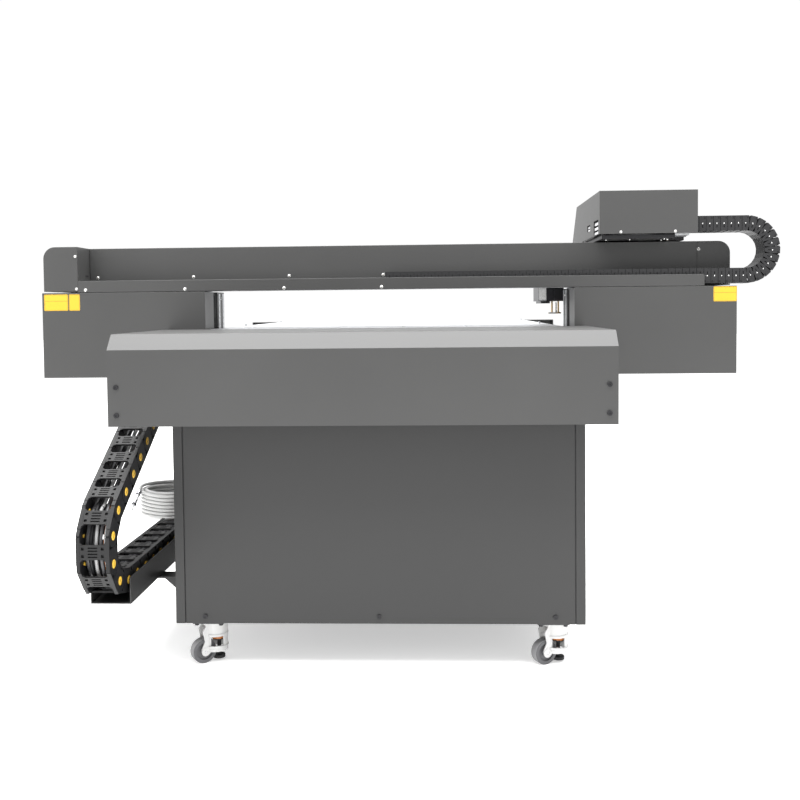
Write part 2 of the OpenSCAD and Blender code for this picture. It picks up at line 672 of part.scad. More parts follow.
module print_head_unit() machine() color([0.2, 0.2, 0.22]) translate([head_x, 0, 0]) {
    block([-132, 960, 1074], [132, 1182, 1086]);
    for (i = [0:2], j = [0:1]) block([-100 + i * 76, 975 + j * 104, head_z], [-52 + i * 76, 1060 + j * 104, 1150]);
    block([-120, 960, 1086], [120, 972, 1206]);
    for (x = [-90, 90]) rod_z(x, 966, 1206, 1280);
    for (i = [0:3]) block([-100 + i * 52, 990, 1160], [-60 + i * 52, 1150, 1206]);
    block([-100, 985, 1150], [100, 1155, 1160]);
}
module rod_z(x, y, z0, z1) translate([x, y, z0]) cylinder(h = z1 - z0, r = 5);
module lamp(x) translate([x, 0, 0]) {
    block([-lamp_w / 2, 952, head_z + 8], [lamp_w / 2, 1150, 1180]);
    block([-lamp_w / 2 + 9, 960, head_z], [-4, 1140, head_z + 8]);
}
module uv_lamps() machine() color(dark) {
    difference() {
        lamp(head_x - lamp_x);
        for (x = probe_x) translate([x, probe_y, head_z - 1]) cylinder(h = 68, r = probe_r + run);
    }
    lamp(head_x + lamp_x);
    block([head_x - lamp_x + lamp_w / 2, 1000, 1168], [head_x - 132, 1100, 1174]);
    block([head_x + 132, 1000, 1168], [head_x + lamp_x - lamp_w / 2, 1100, 1174]);
    block([head_x - 150, 1000, 1086], [head_x - 132, 1100, 1174]);
    block([head_x + 132, 1000, 1086], [head_x + 150, 1100, 1174]);
}
module height_probe() machine() color([0.6, 0.42, 0.2]) {
    for (x = probe_x) translate([x, probe_y, probe_z + 4]) cylinder(h = 62, r = probe_r);
    block([probe_x[0] - 13, probe_y - 10, probe_z], [probe_x[1] + 9, probe_y + 10, probe_z + 4.5]);
}

// ---------------------------------------------------------------- casters

// One caster's place: its swivel axis, with its wheel trailing along local -X
module caster(i) translate([i % 2 == 1 ? -caster_x : caster_x, caster_y[i > 2 ? 1 : 0], 0])
    rotate([0, 0, caster_yaw + (i > 2 ? 150 : 0) + (i % 2 == 1 ? 0 : -8)]) children();
module fork_outline(r, half) {
    translate([foot_x - 10, 0]) circle(r = r);
    translate([-26, -half]) square([foot_x + 16, 2 * half]);
}
module cheek_profile() {
    polygon([[-26, fork_top - 8], [-36, fork_top - 22], [-30, 66], [-40, 44], [-40, 34], [-28, 24.5],
        [-16, 28], [-5, 40], [-11, 50], [-11, 80], [8, fork_top - 8]]);
    translate([-trail, wheel_d / 2]) circle(r = 12);
}
module caster_fork() color([0.72, 0.73, 0.73]) difference() {
    union() {
        difference() {
            translate([0, 0, 34]) linear_extrude(fork_top - 34) fork_outline(36, 20);
            translate([0, 0, 33]) linear_extrude(fork_top - 41) fork_outline(32.5, 15.5);
            block([-70, -fork_gap, 20], [0, fork_gap, fork_top - 8]);
            for (s = [-1, 1]) translate([foot_x - 10, 0, 51])
                linear_extrude(28) polygon([[0, s * 10], 60 * [cos(69), s * sin(69)], 60 * [cos(150), s * sin(150)]]);
        }
        for (s = [-1, 1]) along_y(s > 0 ? fork_gap : -20, s > 0 ? 20 : -fork_gap) cheek_profile();
        rod_y(-trail, wheel_d / 2, 4, -21.5, 21.5);
    }
    translate([0, 0, fork_top - 16]) cylinder(h = 17, r = king_r + run);
    translate([foot_x, 0, fork_top - 12]) cylinder(h = 13, r = stem_r + run);
}
module caster_wheel() color([0.3, 0.3, 0.31]) difference() {
    union() {
        rod_y(-trail, wheel_d / 2, wheel_d / 2 - 2, -14, 14);
        rod_y(-trail, wheel_d / 2, wheel_d / 2, -12, 12);
    }
    rod_y(-trail, wheel_d / 2, 4 + run, -15, 15);
    for (s = [-1, 1]) difference() {
        rod_y(-trail, wheel_d / 2, 25, s > 0 ? 9 : -15, s > 0 ? 15 : -9);
        rod_y(-trail, wheel_d / 2, 10, -16, 16);
    }
}
module leveling_foot() color(black) {
    translate([foot_x, 0, foot_z]) cylinder(h = 9, r = foot_r);
    translate([foot_x, 0, foot_z + 9]) cylinder(h = fork_top - foot_z - 12, r = stem_r);
    translate([foot_x, 0, 63]) cylinder(h = 6, r = 17);
    translate([foot_x, 0, 68.5]) cylinder(h = 7.5, r = 22);
}
module caster_fork_1() machine() caster(1) caster_fork();
module caster_fork_2() machine() caster(2) caster_fork();
module caster_fork_3() machine() caster(3) caster_fork();
module caster_fork_4() machine() caster(4) caster_fork();
module caster_wheel_1() machine() caster(1) caster_wheel();
module caster_wheel_2() machine() caster(2) caster_wheel();
module caster_wheel_3() machine() caster(3) caster_wheel();
module caster_wheel_4() machine() caster(4) caster_wheel();
module leveling_foot_1() machine() caster(1) leveling_foot();
module leveling_foot_2() machine() caster(2) leveling_foot();
module leveling_foot_3() machine() caster(3) leveling_foot();
module leveling_foot_4() machine() caster(4) leveling_foot();

base_frame();
rear_panel();
front_panel();
side_panels();
rear_apron();
front_apron();
vacuum_bed();
registration_pins();
y_rails();
y_drive_units();
y_screw_left();
y_screw_right();
vacuum_blower();
control_box();
panel_screws();
y_chain_tray();
y_chain_lower();
y_chain_loop();
y_chain_upper();
hose_gland();
hose_coil();
hose_ends();
hose_connectors();
gantry_legs();
gantry_beam();
beam_cover();
end_caps();
x_chain_tray();
left_leg_rear_cover();
left_leg_front_cover();
right_leg_rear_cover();
right_leg_front_cover();
x_rails();
x_motor();
x_drive_pulley();
x_idler_pulley();
x_belt();
ink_tanks();
capping_station();
emergency_stop();
x_chain_lower();
x_chain_loop();
x_chain_upper();
carriage_plate();
carriage_cover();
print_head_unit();
uv_lamps();
height_probe();
caster_fork_1();
caster_fork_2();
caster_fork_3();
caster_fork_4();
caster_wheel_1();
caster_wheel_2();
caster_wheel_3();
caster_wheel_4();
leveling_foot_1();
leveling_foot_2();
leveling_foot_3();
leveling_foot_4();
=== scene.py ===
"""Looks of a flatbed UV printer seen from its rear: finishes, cable chains, hose, casters and small parts."""

import json
import math

import bpy
from mathutils import Matrix, Vector


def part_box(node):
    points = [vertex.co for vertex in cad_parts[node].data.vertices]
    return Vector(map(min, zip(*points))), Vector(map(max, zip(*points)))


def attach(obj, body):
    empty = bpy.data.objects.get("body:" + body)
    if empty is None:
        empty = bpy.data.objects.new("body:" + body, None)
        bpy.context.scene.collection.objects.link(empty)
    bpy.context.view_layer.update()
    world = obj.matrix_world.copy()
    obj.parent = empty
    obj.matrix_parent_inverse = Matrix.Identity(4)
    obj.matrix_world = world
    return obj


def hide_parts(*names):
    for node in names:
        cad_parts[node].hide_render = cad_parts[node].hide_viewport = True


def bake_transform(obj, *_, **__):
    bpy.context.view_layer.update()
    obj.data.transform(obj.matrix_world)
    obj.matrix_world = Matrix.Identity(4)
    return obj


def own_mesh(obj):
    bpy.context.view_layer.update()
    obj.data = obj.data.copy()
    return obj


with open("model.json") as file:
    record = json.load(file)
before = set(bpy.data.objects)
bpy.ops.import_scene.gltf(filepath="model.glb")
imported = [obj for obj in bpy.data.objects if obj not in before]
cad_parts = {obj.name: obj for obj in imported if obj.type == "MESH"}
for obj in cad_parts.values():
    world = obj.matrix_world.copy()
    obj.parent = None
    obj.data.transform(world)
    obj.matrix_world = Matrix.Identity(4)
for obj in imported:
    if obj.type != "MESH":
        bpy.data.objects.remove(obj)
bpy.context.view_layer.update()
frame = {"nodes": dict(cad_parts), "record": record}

# Places are given in millimetres from the gantry's centre line, the rear apron's face and the floor.
MM = 0.001
CENTRE_X = sum(corner.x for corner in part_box("x_rails")) / 2
REAR_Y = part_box("rear_apron")[0].y
MACHINE = Matrix.Translation((CENTRE_X, REAR_Y, 0)) @ Matrix.Scale(MM, 4)
TURN = 2 * math.pi


def at(x, y, z):
    """A place of the machine as a point of the row frame, in metres."""
    return MACHINE @ Vector((x, y, z))


def smoothstep(t):
    t = min(max(t, 0.0), 1.0)
    return t * t * (3 - 2 * t)


# ---------------------------------------------------------------- camera

CAMERA_PLACE = (182.3, -2594.7, 1054.4)
CAMERA_TURN = (87.6, 0.588, 2.343)  # degrees about X, Y and Z
CAMERA_LENS = 43.0


def make_camera():
    data = bpy.data.cameras.new("camera")
    data.lens, data.sensor_width, data.shift_y = CAMERA_LENS, 36, -0.0663
    data.clip_start, data.clip_end = 0.05, 100
    camera = bpy.data.objects.new("camera", data)
    camera.location = at(*CAMERA_PLACE)
    camera.rotation_euler = [math.radians(turn) for turn in CAMERA_TURN]
    bpy.context.scene.collection.objects.link(camera)
    bpy.context.scene.camera = camera


make_camera()

# ---------------------------------------------------------------- finishes


def node(tree, kind, inputs=(), **settings):
    made = tree.nodes.new("ShaderNode" + kind)
    for name, value in settings.items():
        setattr(made, name, value)
    for name, value in dict(inputs).items():
        if isinstance(value, bpy.types.NodeSocket):
            tree.links.new(value, made.inputs[name])
        else:
            made.inputs[name].default_value = value
    return made


def finish(name, colour, rough, metal=0.0, grain=700, relief=0.06, tone=0.08, broad=2.5, stretch=(1, 1, 1), **fixed):
    """A procedural finish: broad soft changes of tone, and a fine grain in tone, gloss and relief."""
    material = bpy.data.materials.new(name)
    material.use_nodes = True
    tree = material.node_tree
    shader = tree.nodes["Principled BSDF"]
    place = node(tree, "TexCoord").outputs["Object"]
    long = node(tree, "Mapping", {"Vector": place, "Scale": stretch}).outputs[0]
    wide = node(tree, "TexNoise", {"Vector": place, "Scale": broad, "Detail": 4.0, "Roughness": 0.6}).outputs["Fac"]
    fine = node(tree, "TexNoise", {"Vector": long, "Scale": grain, "Detail": 3.0}).outputs["Fac"]
    both = node(tree, "Mix", {"Factor": 0.4, "A": wide, "B": fine}, data_type="FLOAT").outputs["Result"]
    low = [c * (1 - tone) for c in colour] + [1]
    high = [min(c * (1 + tone), 1) for c in colour] + [1]
    ramp = node(tree, "ValToRGB", {"Fac": both})
    ramp.color_ramp.elements[0].position, ramp.color_ramp.elements[0].color = 0.3, low
    ramp.color_ramp.elements[1].position, ramp.color_ramp.elements[1].color = 0.7, high
    tree.links.new(ramp.outputs["Color"], shader.inputs["Base Color"])
    gloss = node(tree, "MapRange", {"Value": both, "To Min": rough - 0.07, "To Max": rough + 0.07})
    tree.links.new(gloss.outputs["Result"], shader.inputs["Roughness"])
    bump = node(tree, "Bump", {"Height": fine, "Strength": relief, "Distance": 0.0005})
    tree.links.new(bump.outputs["Normal"], shader.inputs["Normal"])
    shader.inputs["Metallic"].default_value = metal
    for socket, value in fixed.items():
        shader.inputs[socket.replace("_", " ")].default_value = value
    return material


SPECULAR = "Specular_IOR_Level"
FINISHES = {
    "cover_paint": dict(colour=(0.041, 0.041, 0.0405), rough=0.42, grain=1400, relief=0.10),
    "panel_paint": dict(colour=(0.025, 0.025, 0.025), rough=0.47, grain=1400, relief=0.10, **{SPECULAR: 0.4}),
    "frame_steel": dict(colour=(0.022, 0.022, 0.024), rough=0.5),
    "bed_aluminium": dict(colour=(0.80, 0.81, 0.83), rough=0.34, metal=0.8, grain=400, stretch=(1, 14, 1)),
    "machined_aluminium": dict(colour=(0.60, 0.61, 0.63), rough=0.33, metal=1.0, stretch=(14, 1, 1)),
    "ground_steel": dict(colour=(0.60, 0.61, 0.62), rough=0.24, metal=1.0, stretch=(1, 10, 1), relief=0.03),
    "black_steel": dict(colour=(0.016, 0.016, 0.018), rough=0.42, metal=0.4),
    "chain_plastic": dict(colour=(0.010, 0.010, 0.011), rough=0.42, relief=0.12, **{SPECULAR: 0.22}),
    "black_plastic": dict(colour=(0.016, 0.016, 0.017), rough=0.45, relief=0.12, **{SPECULAR: 0.3}),
    "belt_rubber": dict(colour=(0.014, 0.014, 0.014), rough=0.62, relief=0.2, **{SPECULAR: 0.3}),
    "hose_plastic": dict(colour=(0.42, 0.42, 0.415), rough=0.22, tone=0.05, relief=0.02),
    "coupling_metal": dict(colour=(0.55, 0.55, 0.57), rough=0.18, metal=1.0, relief=0.02),
    "gland_plastic": dict(colour=(0.02, 0.02, 0.022), rough=0.4),
    "tank_plastic": dict(colour=(0.72, 0.72, 0.70), rough=0.38, tone=0.05, Subsurface_Weight=0.2),
    "equipment_grey": dict(colour=(0.36, 0.37, 0.37), rough=0.4, grain=1400, relief=0.1),
    "head_black": dict(colour=(0.02, 0.02, 0.023), rough=0.35, metal=0.2),
    "lamp_housing": dict(colour=(0.03, 0.03, 0.034), rough=0.32, metal=0.6),
    "probe_brass": dict(colour=(0.50, 0.33, 0.13), rough=0.25, metal=1.0, relief=0.03),
    "stop_red": dict(colour=(0.55, 0.018, 0.016), rough=0.3, tone=0.04, relief=0.02, Coat_Weight=0.3),
    "caster_casting": dict(colour=(0.54, 0.54, 0.535), rough=0.45, metal=0.25, grain=500, relief=0.25),
    "wheel_rubber": dict(colour=(0.085, 0.085, 0.09), rough=0.5, grain=500, relief=0.2),
    "foot_rubber": dict(colour=(0.014, 0.014, 0.015), rough=0.6, relief=0.2, **{SPECULAR: 0.3}),
    # finishes of the pieces made below
    "chain_frame": dict(colour=(0.011, 0.011, 0.0115), rough=0.5, grain=500, relief=0.16, **{SPECULAR: 0.3}),
    "chain_link": dict(colour=(0.015, 0.015, 0.016), rough=0.45, grain=500, relief=0.12, **{SPECULAR: 0.35}),
    "pin_yellow": dict(colour=(0.78, 0.48, 0.05), rough=0.35, tone=0.06),
    "bright_screw": dict(colour=(0.74, 0.74, 0.73), rough=0.25, metal=0.85, relief=0.03),
    "cable_grey": dict(colour=(0.07, 0.07, 0.075), rough=0.4, tone=0.1),
    "cable_white": dict(colour=(0.34, 0.34, 0.34), rough=0.35, tone=0.06),
    "cable_orange": dict(colour=(0.55, 0.16, 0.03), rough=0.38, tone=0.08),
    "ring_orange": dict(colour=(0.46, 0.15, 0.025), rough=0.36, tone=0.2, broad=60, relief=0.15),
    "plate_yellow": dict(colour=(0.58, 0.36, 0.02), rough=0.38, tone=0.04),
    # dark brown: printed lines on the plates, and painted shade of the screws' cross recesses and the pins' slots
    "print_line_and_recess_shade": dict(colour=(0.17, 0.09, 0.02), rough=0.45, tone=0.06),
    "wheel_tread": dict(colour=(0.19, 0.19, 0.195), rough=0.5, grain=500, relief=0.2),
    "clear_bar": dict(colour=(0.60, 0.60, 0.61), rough=0.3, tone=0.15, broad=40, relief=0.02),
    "galvanised": dict(colour=(0.50, 0.51, 0.52), rough=0.38, metal=0.7, broad=90, tone=0.25),
    "clear_tip": dict(colour=(0.86, 0.87, 0.87), rough=0.15, tone=0.03, relief=0.01, Transmission_Weight=0.5),
    "lamp_window": dict(colour=(0.10, 0.08, 0.16), rough=0.12, tone=0.1, Coat_Weight=0.6),
    "pale_floor": dict(colour=(0.90, 0.90, 0.895), rough=0.6, grain=60, relief=0.02, tone=0.01,
                       Emission_Color=(1, 1, 1, 1), Emission_Strength=0.45),
}
MATERIALS = {name: finish(name, **facts) for name, facts in FINISHES.items()}

# ---------------------------------------------------------------- mesh tools


def moved(shape, matrix):
    points, faces = shape
    if matrix.determinant() < 0:
        faces = [face[::-1] for face in faces]
    return [matrix @ Vector(p) for p in points], faces


def block(low, high):
    x, y, z = ((low[k], high[k]) for k in range(3))
    points = [(a, b, c) for a in x for b in y for c in z]
    return points, [(0, 1, 3, 2), (4, 6, 7, 5), (0, 4, 5, 1), (2, 3, 7, 6), (0, 2, 6, 4), (1, 5, 7, 3)]


def prism(outline, low, high):
    """An outline in the XY plane, anticlockwise, drawn up from low to high."""
    n = len(outline)
    points = [(x, y, z) for z in (low, high) for x, y in outline]
    sides = [(k, (k + 1) % n, n + (k + 1) % n, n + k) for k in range(n)]
    return points, [tuple(reversed(range(n))), tuple(range(n, 2 * n))] + sides


def lathe(profile, steps=24):
    """A profile of (radius, height) turned round Z. It starts and ends on the axis, or is a closed ring."""
    points, rings = [], []
    for radius, height in profile:
        rings.append(range(len(points), len(points) + (steps if radius > 0 else 1)))
        turns = range(steps if radius > 0 else 1)
        points += [(radius * math.cos(TURN * k / steps), radius * math.sin(TURN * k / steps), height) for k in turns]
    faces = []
    on_axis = profile[0][0] == 0
    pairs = list(zip(rings, rings[1:])) + ([] if on_axis else [(rings[-1], rings[0])])
    for a, b in pairs:
        for k in range(steps):
            j = (k + 1) % steps
            quad = [a[k % len(a)], a[j % len(a)], b[j % len(b)], b[k % len(b)]]
            faces.append(tuple(dict.fromkeys(quad)))
    return points, faces


def rounded(width, height, radius, steps=4):
    """A rounded rectangle round the origin, anticlockwise."""
    centres = [(1, 1), (-1, 1), (-1, -1), (1, -1)]
    return [
        (
            sx * (width / 2 - radius) + radius * math.cos(TURN * (corner + k / steps) / 4),
            sy * (height / 2 - radius) + radius * math.sin(TURN * (corner + k / steps) / 4),
        )
        for corner, (sx, sy) in enumerate(centres)
        for k in range(steps + 1)
    ]


def pierced(xs, ys, is_hole, low, high):
    """A plate over a grid of cells in the XY plane, with the cells that is_hole names left out."""
    kept = {(i, j) for i in range(len(xs) - 1) for j in range(len(ys) - 1) if not is_hole(i, j)}
    points, index, faces = [], {}, []

    def corner(i, j, top):
        if (i, j, top) not in index:
            index[i, j, top] = len(points)
            points.append((xs[i], ys[j], high if top else low))
        return index[i, j, top]

    for i, j in sorted(kept):
        around = [(i, j), (i + 1, j), (i + 1, j + 1), (i, j + 1)]
        faces.append(tuple(corner(*p, True) for p in around))
        faces.append(tuple(corner(*p, False) for p in reversed(around)))
        for k, step in enumerate([(0, -1), (1, 0), (0, 1), (-1, 0)]):
            if (i + step[0], j + step[1]) not in kept:
                a, b = around[k], around[(k + 1) % 4]
                faces.append((corner(*a, False), corner(*b, False), corner(*b, True), corner(*a, True)))
    return points, faces


def tube(line, radius, sides=10):
    """A round tube along a line of points, closed at both ends."""
    line = [Vector(p) for p in line]
    points, faces = [], []
    across = Vector((0, 0, 1))
    for k, p in enumerate(line):
        ahead = (line[min(k + 1, len(line) - 1)] - line[max(k - 1, 0)]).normalized()
        side = ahead.cross(across)
        side = side.normalized() if side.length > 0.05 else ahead.orthogonal().normalized()
        across = side.cross(ahead)
        for j in range(sides):
            turn = TURN * j / sides
            points.append(p + radius * (math.cos(turn) * side + math.sin(turn) * across))
    for k in range(len(line) - 1):
        for j in range(sides):
            a, b = k * sides + j, k * sides + (j + 1) % sides
            faces.append((a, b, b + sides, a + sides))
    ends = [tuple(reversed(range(sides))), tuple(range(len(points) - sides, len(points)))]
    return points, faces + ends


class Piece:
    """Shapes collected in machine millimetres, each with its finish, and made into one mesh."""

    def __init__(self, name):
        self.name, self.points, self.faces, self.finishes = name, [], [], []

    def add(self, shape, finish_name, place=None):
        points, faces = moved(shape, place) if place else shape
        first = len(self.points)
        self.points += [Vector(p) for p in points]
        self.faces += [tuple(first + k for k in face) for face in faces]
        self.finishes += [finish_name] * len(faces)
        return self

    def make(self, slot=None, edge=0.0):
        names = list(dict.fromkeys(self.finishes))
        mesh = bpy.data.meshes.new(self.name)
        mesh.from_pydata([MACHINE @ p for p in self.points], [], self.faces)
        for name in names:
            mesh.materials.append(MATERIALS[name])
        mesh.polygons.foreach_set("material_index", [names.index(f) for f in self.finishes])
        mesh.polygons.foreach_set("use_smooth", [True] * len(mesh.polygons))
        mesh.set_sharp_from_angle(angle=math.radians(32))
        mesh.update()
        piece = bpy.data.objects.new(self.name, mesh)
        bpy.context.scene.collection.objects.link(piece)
        if edge:
            soften(piece, edge)
        return piece


def soften(piece, width, weld=False):
    """Rounds a piece's edges by modifiers, which leave its own mesh as it is."""
    if weld:
        piece.modifiers.new("weld", "WELD").merge_threshold = 1e-5
        flat = piece.modifiers.new("flat", "DECIMATE")
        flat.decimate_type, flat.angle_limit = "DISSOLVE", math.radians(0.3)
    bevel = piece.modifiers.new("edges", "BEVEL")
    bevel.width, bevel.segments = width * MM, 2
    bevel.limit_method, bevel.angle_limit = "ANGLE", math.radians(32)
    bevel.harden_normals = True
    if weld:
        piece.modifiers.new("normals", "WEIGHTED_NORMAL").keep_sharp = True


def facing(x, y, z, direction):
    """A place whose local Z points along direction."""
    turn = Vector(direction).to_track_quat("Z", "Y").to_matrix().to_4x4()
    return Matrix.Translation((x, y, z)) @ turn


# ---------------------------------------------------------------- hose

HOSE_R = 6.0
COIL_CENTRE = (-785, 847)
COIL_OUTER, COIL_INNER, LAYER = 120.6, 108.0, 12.6
COIL_LOW, COIL_JOIN, TAIL_Z = 309.6, 398.6, 409.5
TAIL_R = 124.5
STEP = 10  # degrees of each turn between two points
LEAD = [(-622, 967, 404), (-632, 967, 404), (-642, 967, 404), (-655, 967, 403.8), (-670, 967.3, 403.3),
        (-685, 967.6, 402.4), (-700, 967.8, 401.4), (-715, 967.8, 400.6), (-730, 967.7, 400), (-745, 967.6, 399.5),
        (-760, 967.6, 399.2), (-772, 967.6, 398.9)]
TAIL = [(-909.5, 836, 409.3), (-909.5, 825, 408), (-909, 814, 405), (-908, 803, 400)]


def coil_points():
    """Down the outer column of turns, up the inner one, and out over the top to the free end."""
    down = 90 + 360 * (COIL_JOIN - COIL_LOW) / LAYER
    up = down + 90
    last = 180 + 360 * 15
    angle = 90
    while angle <= last:
        if angle <= down:
            radius, z = COIL_OUTER, COIL_JOIN - LAYER * (angle - 90) / 360
        elif angle <= up:
            radius, z = COIL_OUTER - (COIL_OUTER - COIL_INNER) * smoothstep((angle - down) / 90), COIL_LOW
        else:
            z = COIL_LOW + LAYER * (angle - up) / 360
            radius = COIL_INNER + (TAIL_R - COIL_INNER) * smoothstep((angle - last + 80) / 80)
            z += (TAIL_Z - COIL_LOW - LAYER * (last - up) / 360) * smoothstep((angle - last + 360) / 280)
        turn = math.radians(angle)
        # the turns lean and bulge a little together, as a coil wound by hand does
        loose = smoothstep((angle - 90) / 200) * smoothstep((last - angle) / 200)
        radius *= 1 + 0.022 * loose * math.sin(3 * turn + z * 0.03)
        z += 1.6 * loose * math.sin(2 * turn + 0.8)
        yield COIL_CENTRE[0] + radius * math.cos(turn), COIL_CENTRE[1] + radius * math.sin(turn), z
        angle += STEP


def make_hose():
    line = [at(*p) for p in [*LEAD, *coil_points(), *TAIL]]
    curve = bpy.data.curves.new("coiled_hose", "CURVE")
    curve.dimensions, curve.bevel_depth, curve.bevel_resolution = "3D", HOSE_R * MM, 4
    curve.use_fill_caps = True
    spline = curve.splines.new("POLY")
    spline.points.add(len(line) - 1)
    for point, p in zip(spline.points, line):
        point.co = (*p, 1)
    spline.use_smooth = True
    curve.materials.append(MATERIALS["hose_plastic"])
    hose = bpy.data.objects.new("coiled_hose", curve)
    bpy.context.scene.collection.objects.link(hose)
    length = sum((b - a).length for a, b in zip(line, line[1:]))
    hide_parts("hose_coil", "hose_ends")
    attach(hose, "root")
    return hose, line[0], length


COUPLING_DROP = 29


def make_coupling():
    """The push-in coupling in two ribbed halves, with a clear tip, on the hose's free end."""
    piece = Piece("hose_coupling")
    place = Matrix.Translation(TAIL[-1]) @ Matrix.Rotation(math.radians(90 + COUPLING_DROP), 4, "X")
    sleeve = [(0, 1), (6.6, 1), (7.0, 3), (7.0, 8)]
    for k in range(4):
        z = 8 + 3 * k
        sleeve += [(9.0, z), (9.0, z + 1.8), (7.6, z + 1.8), (7.6, z + 3)]
    sleeve += [(7.0, 20), (7.0, 37), (5.2, 38), (5.2, 48), (0, 48)]
    piece.add(lathe(sleeve), "coupling_metal", place)
    ring = [(7.0, 24), (8.2, 24), (8.2, 30), (7.0, 30)]
    piece.add(lathe(ring), "black_plastic", place)
    second = [(0, 47), (6.0, 47), (8.0, 50)]
    for k in range(5):
        z = 51 + 4.4 * k
        second += [(8.2, z), (8.2, z + 2.6), (7.0, z + 3), (7.0, z + 4.2)]
    second += [(8.0, 74), (8.0, 83), (5.5, 85), (0, 85)]
    piece.add(lathe(second), "coupling_metal", place)
    piece.add(lathe([(8.0, 76), (8.7, 76), (8.7, 82), (8.0, 82)]), "black_plastic", place)
    piece.add(lathe([(0, 84), (4.4, 84), (4.4, 112), (4.0, 117.5), (0, 117.5)]), "clear_tip", place)
    coupling = piece.make("coupling_metal")
    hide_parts("hose_connectors")
    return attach(coupling, "root")


hose, hose_exit, hose_length = make_hose()
coupling = make_coupling()
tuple(hose_exit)

# ---------------------------------------------------------------- finishes and edges of the CAD nodes

EDGES = {
    "rear_apron": 1.2, "front_apron": 1.2, "rear_panel": 1, "front_panel": 1, "side_panels": 1, "y_chain_tray": 1,
    "beam_cover": 1.2, "end_caps": 1.2, "x_chain_tray": 1, "left_leg_rear_cover": 1.2, "left_leg_front_cover": 1.2,
    "right_leg_rear_cover": 1.2, "right_leg_front_cover": 1.2, "carriage_cover": 1.2, "vacuum_bed": 0.6,
    "gantry_legs": 1, "gantry_beam": 1.5, "carriage_plate": 0.8, "capping_station": 1.2, "ink_tanks": 3,
    "control_box": 2, "vacuum_blower": 2, "print_head_unit": 1, "uv_lamps": 1.2, "height_probe": 0.5,
    "x_motor": 1.5, "y_drive_units": 1.5, "emergency_stop": 1.5, "base_frame": 1.5,
}


def dress_cad_nodes():
    slots = {part["node"]: part["material_slot"] for part in frame["record"]["subparts"]}
    for name, piece in frame["nodes"].items():
        piece.data.materials.clear()
        piece.data.materials.append(MATERIALS[slots[name]])
        width = 1.4 if name.startswith("caster_") else 0.8 if name.startswith("leveling") else EDGES.get(name)
        if width:
            soften(piece, width, weld=True)


dress_cad_nodes()


# ---------------------------------------------------------------- cable chains


class ChainPath:
    """A chain's neutral line in one plane: a level run, a bend upwards and a straight upper run."""

    def __init__(self, start, low_z, heading, run, radius, bend, upper, plane, middle):
        self.start, self.low_z, self.heading, self.run = start, low_z, heading, run
        self.radius, self.bend, self.upper = radius, bend, upper
        self.plane, self.middle = plane, middle
        self.bend_end = run + radius * bend
        self.length = self.bend_end + upper

    def spot(self, s):
        """How far along the plane and how high the line is, s millimetres from its fixed end."""
        turn = min(max((s - self.run) / self.radius, 0), self.bend)
        along, up = min(s, self.run) + self.radius * math.sin(turn), self.radius * (1 - math.cos(turn))
        past = max(s - self.bend_end, 0)
        along += past * math.cos(self.bend)
        return Vector((self.start + self.heading * along, self.low_z + up + past * math.sin(self.bend)))

    def frame(self, s0, s1):
        """A place at s0 whose X points to s1, Y across the chain and Z out of its bend."""
        a, b = self.spot(s0), self.spot(s1)
        d = (b - a).normalized()
        out = Vector((self.heading * d.y, -self.heading * d.x))
        if self.plane == "YZ":
            columns = (0, d.x, d.y), (1, 0, 0), (0, out.x, out.y)
            origin = (self.middle, a.x, a.y)
        else:
            columns = (d.x, 0, d.y), (0, 1, 0), (out.x, 0, out.y)
            origin = (a.x, self.middle, a.y)
        return Matrix.Translation(origin) @ Matrix(columns).transposed().to_4x4()


Y_RISE = math.radians(29.5)
y_path = ChainPath(700, 290, -1, 662, 116, math.pi - Y_RISE,
                   (560 + 116 * math.sin(Y_RISE) - 38) / math.cos(Y_RISE), "YZ", -748)
x_path = ChainPath(6, 1147, 1, 1187, 86, math.pi, 433, "XZ", 650)
Y_PITCH = y_path.length / 21
Y_FIRST_PIN = 0.366 * Y_PITCH
X_PITCH = x_path.length / 81


